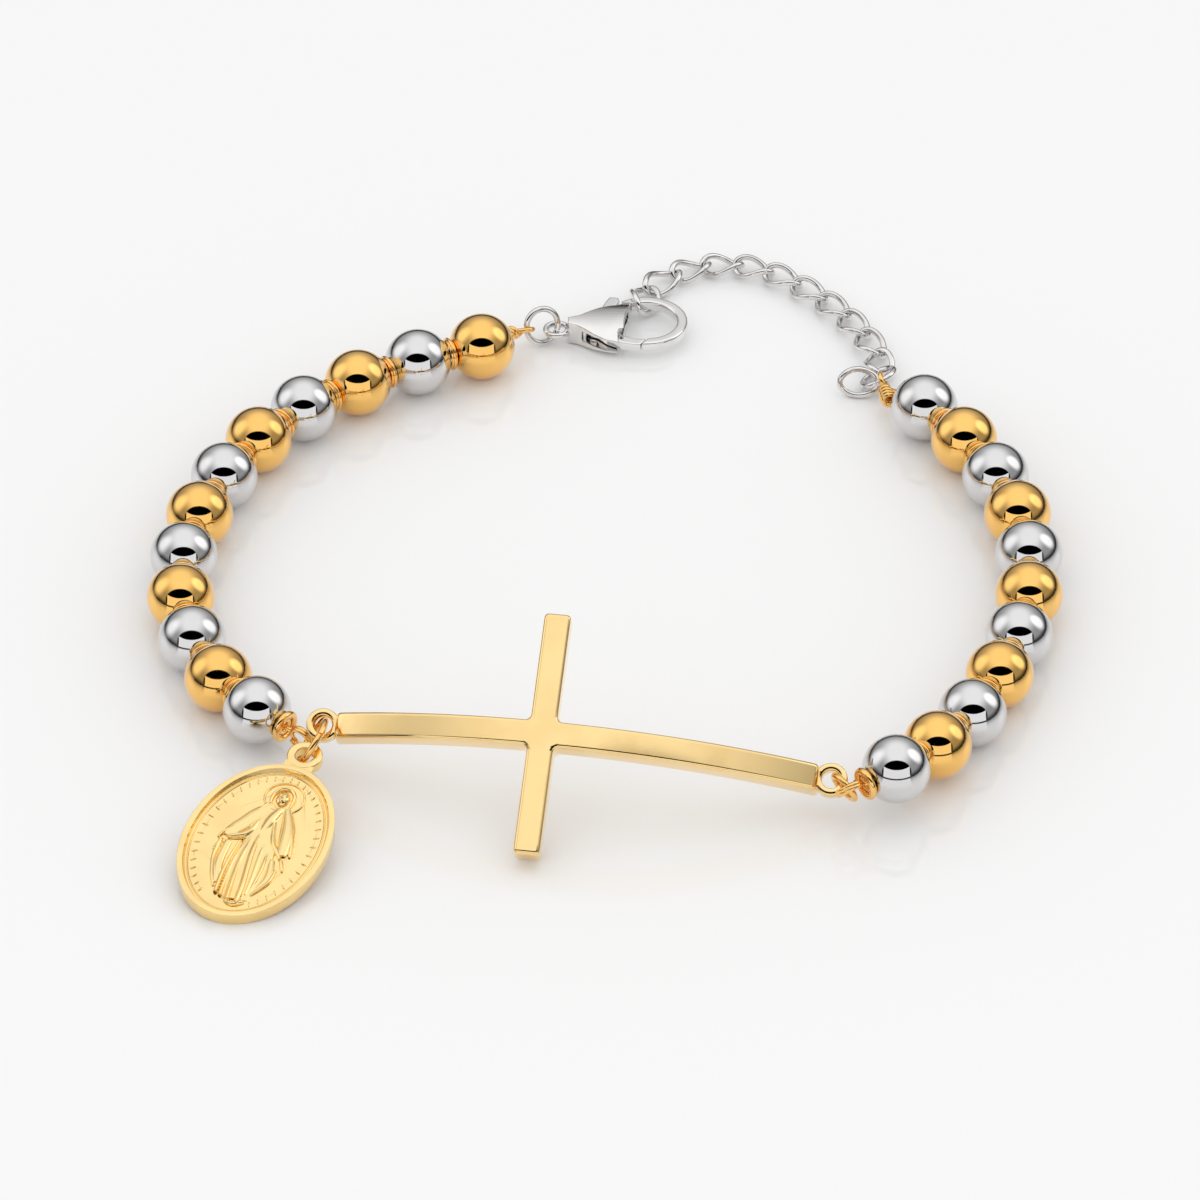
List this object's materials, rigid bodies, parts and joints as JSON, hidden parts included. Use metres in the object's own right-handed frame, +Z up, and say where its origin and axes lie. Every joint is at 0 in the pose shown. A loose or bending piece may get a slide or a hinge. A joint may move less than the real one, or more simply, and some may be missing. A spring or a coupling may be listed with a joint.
{
  "type": "beaded bracelet",
  "caption": "Beaded bracelet in a closed loop: round gold and steel beads, a sideways cross, an oval medal, a sprung lobster clasp and an extension chain.",
  "frame": {"origin": "middle of the bounding box, on the surface that the bracelet lies on", "axes": "+Z up from the surface, +Y from the cross at the front to the clasp at the back, +X to the right seen from the front"},
  "size_m": [0.0806, 0.0988, 0.0153],
  "materials": {
    "gold": "polished, gold plated",
    "steel": "polished"
  },
  "bodies": {
    "bracelet": {"bead_left_01": "gold", "bead_left_02": "steel", "bead_left_03": "gold", "bead_left_04": "steel", "bead_left_05": "gold", "bead_left_06": "steel", "bead_left_07": "gold", "bead_left_08": "steel", "bead_left_09": "gold", "bead_left_10": "steel", "bead_left_11": "gold", "bead_left_12": "steel", "bead_right_01": "steel", "bead_right_02": "gold", "bead_right_03": "steel", "bead_right_04": "gold", "bead_right_05": "steel", "bead_right_06": "gold", "bead_right_07": "steel", "bead_right_08": "gold", "bead_right_09": "steel", "bead_right_10": "gold", "bead_right_11": "steel", "spacers_left": "gold", "spacers_right": "gold", "wire_left": "gold", "wire_right": "gold", "cross": "gold", "cross_ring_right": "gold", "medal_ring": "gold", "medal": "gold", "clasp_ring": "steel", "clasp_body": "steel", "chain_link_01": "steel", "chain_link_02": "steel", "chain_link_03": "steel", "chain_link_04": "steel", "chain_link_05": "steel", "chain_link_06": "steel", "chain_link_07": "steel", "chain_link_08": "steel", "chain_link_09": "steel", "chain_link_10": "steel", "chain_link_11": "steel", "chain_ring": "steel", "chain_tail_link": "steel"},
    "lever": {"clasp_lever": "steel"}
  },
  "joints": [
    {"name": "clasp_lever", "type": "hinge", "parent": "bracelet", "child": "lever", "pos_m": [-0.00083, 0.03737, 0.00122], "axis": [0, 0, 1], "range_deg": [0, 35], "stiffness_Nm_per_rad": 0.0002, "springref_deg": -28.65}
  ]
}
